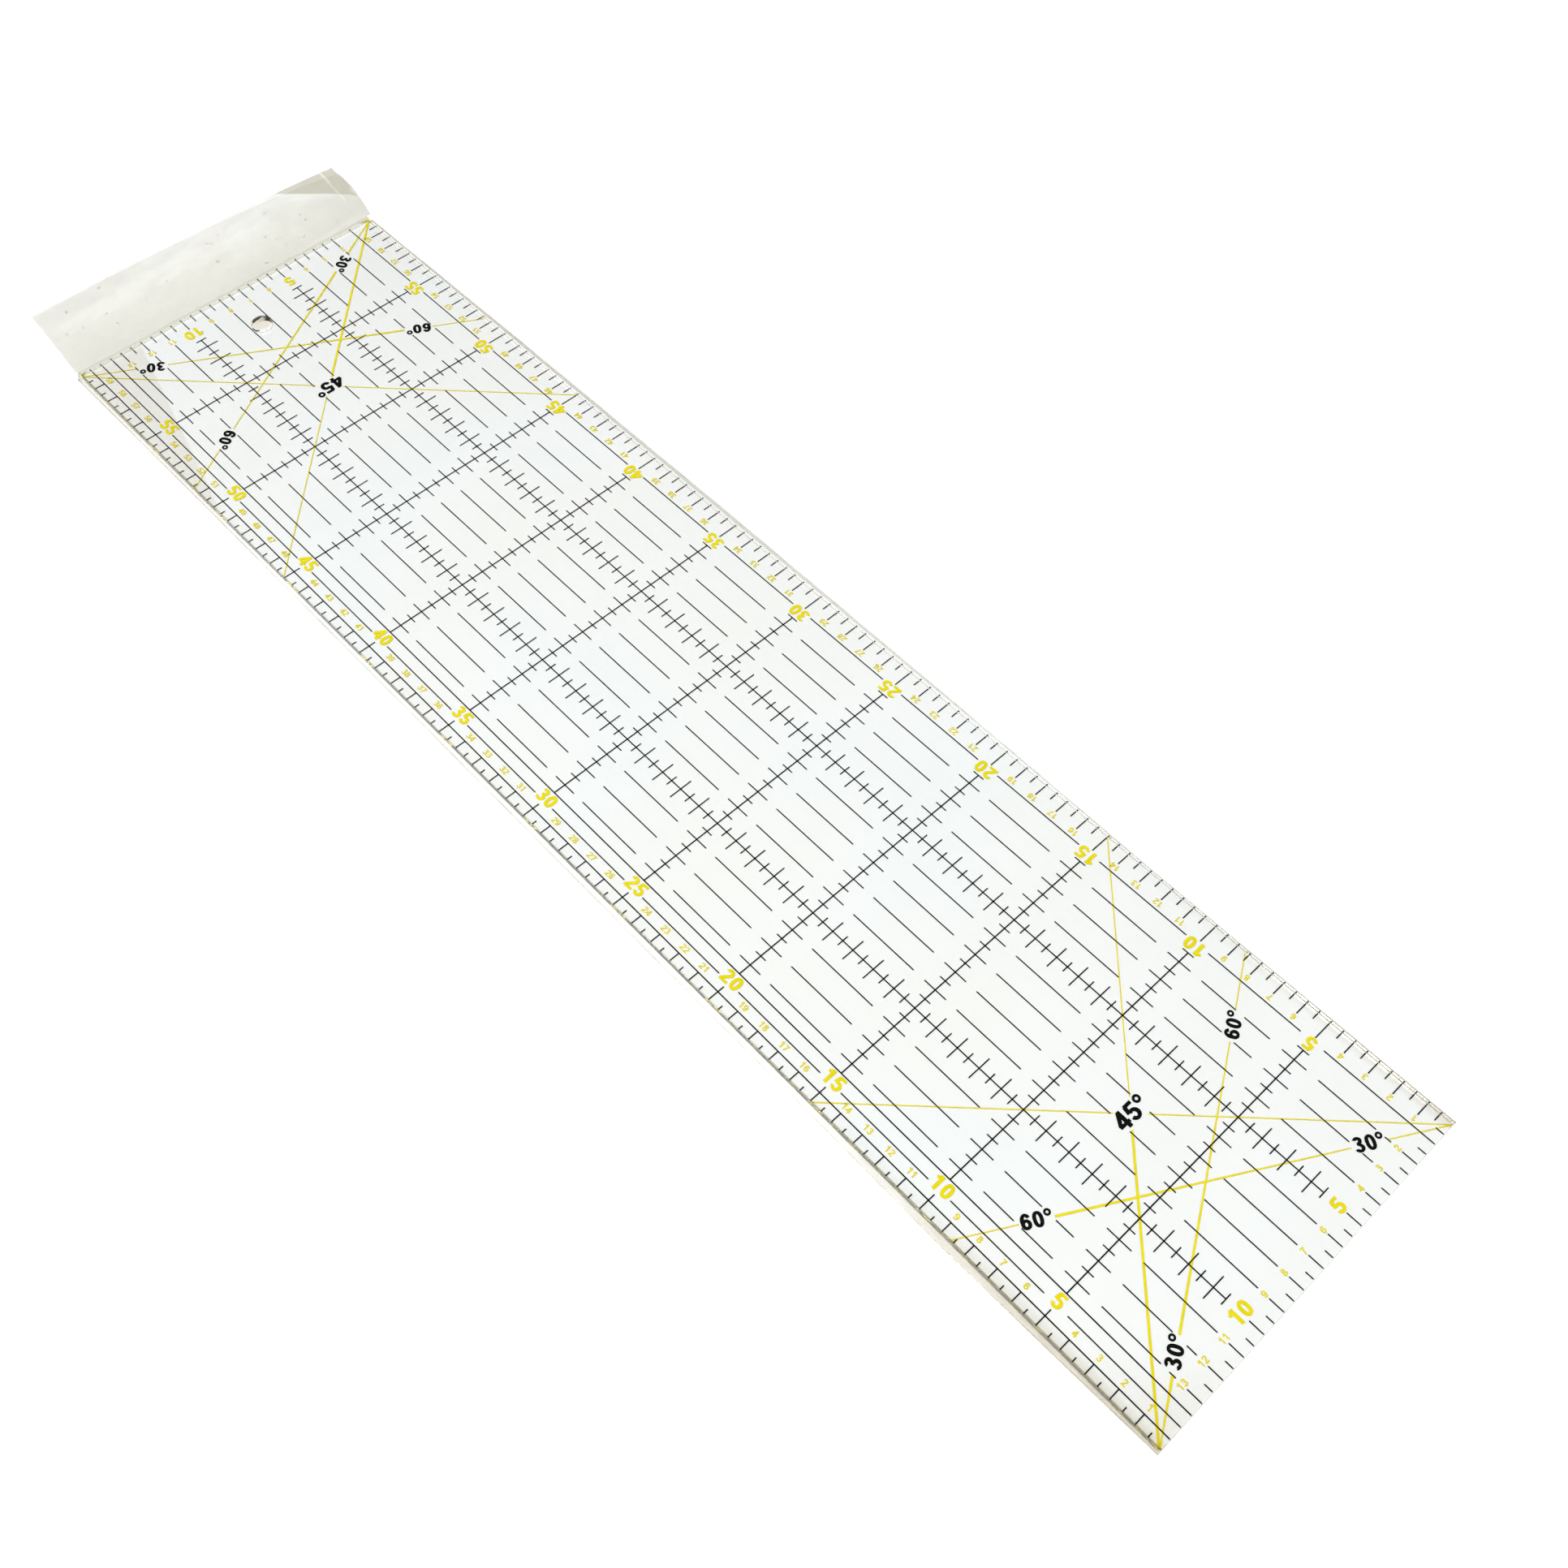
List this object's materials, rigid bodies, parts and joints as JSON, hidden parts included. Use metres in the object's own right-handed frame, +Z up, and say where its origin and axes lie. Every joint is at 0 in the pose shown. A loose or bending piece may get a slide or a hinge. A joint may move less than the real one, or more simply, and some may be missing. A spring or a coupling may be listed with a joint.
{
  "type": "quilting ruler",
  "caption": "Clear acrylic quilting ruler with black grid and yellow angle lines, lying in a clear film sleeve whose open end stands up as a hazy lip; the ruler slides out of the sleeve.",
  "frame": {"origin": "on the surface it lies on, under the middle of the ruler's 60 x 15 cm face", "axes": "+X along the ruler, from the sleeve's folded end to its open mouth; +Y across the ruler to its left long edge; +Z up"},
  "size_m": [0.6307, 0.156, 0.0157],
  "materials": {
    "acrylic": "clear, polished",
    "black_ink": "screen-printed, matt",
    "yellow_ink": "screen-printed, matt",
    "clear_film": "thin clear film, slightly hazy and crinkled"
  },
  "bodies": {
    "sleeve": {"back_film": "clear_film", "front_film": "clear_film", "near_end_fold": "clear_film", "left_side_film": "clear_film", "right_side_film": "clear_film", "left_seal": "clear_film", "right_seal": "clear_film"},
    "ruler": {"acrylic_blade": "acrylic", "black_grid_lines": "black_ink", "black_left_scale": "black_ink", "black_left_guide_line": "black_ink", "black_right_guide_line": "black_ink", "yellow_angle_lines_near": "yellow_ink", "yellow_angle_lines_far": "yellow_ink"},
    "lip": {"mouth_lip": "clear_film"}
  },
  "joints": [
    {"name": "ruler_slide", "type": "slide", "parent": "sleeve", "child": "ruler", "axis": [1, 0, 0], "range_m": [0, 0.61]},
    {"name": "lip_crease", "type": "hinge", "parent": "sleeve", "child": "lip", "pos_m": [0.30165, 0, 0.0035], "axis": [0, -1, 0], "range_deg": [-23, 150]}
  ]
}
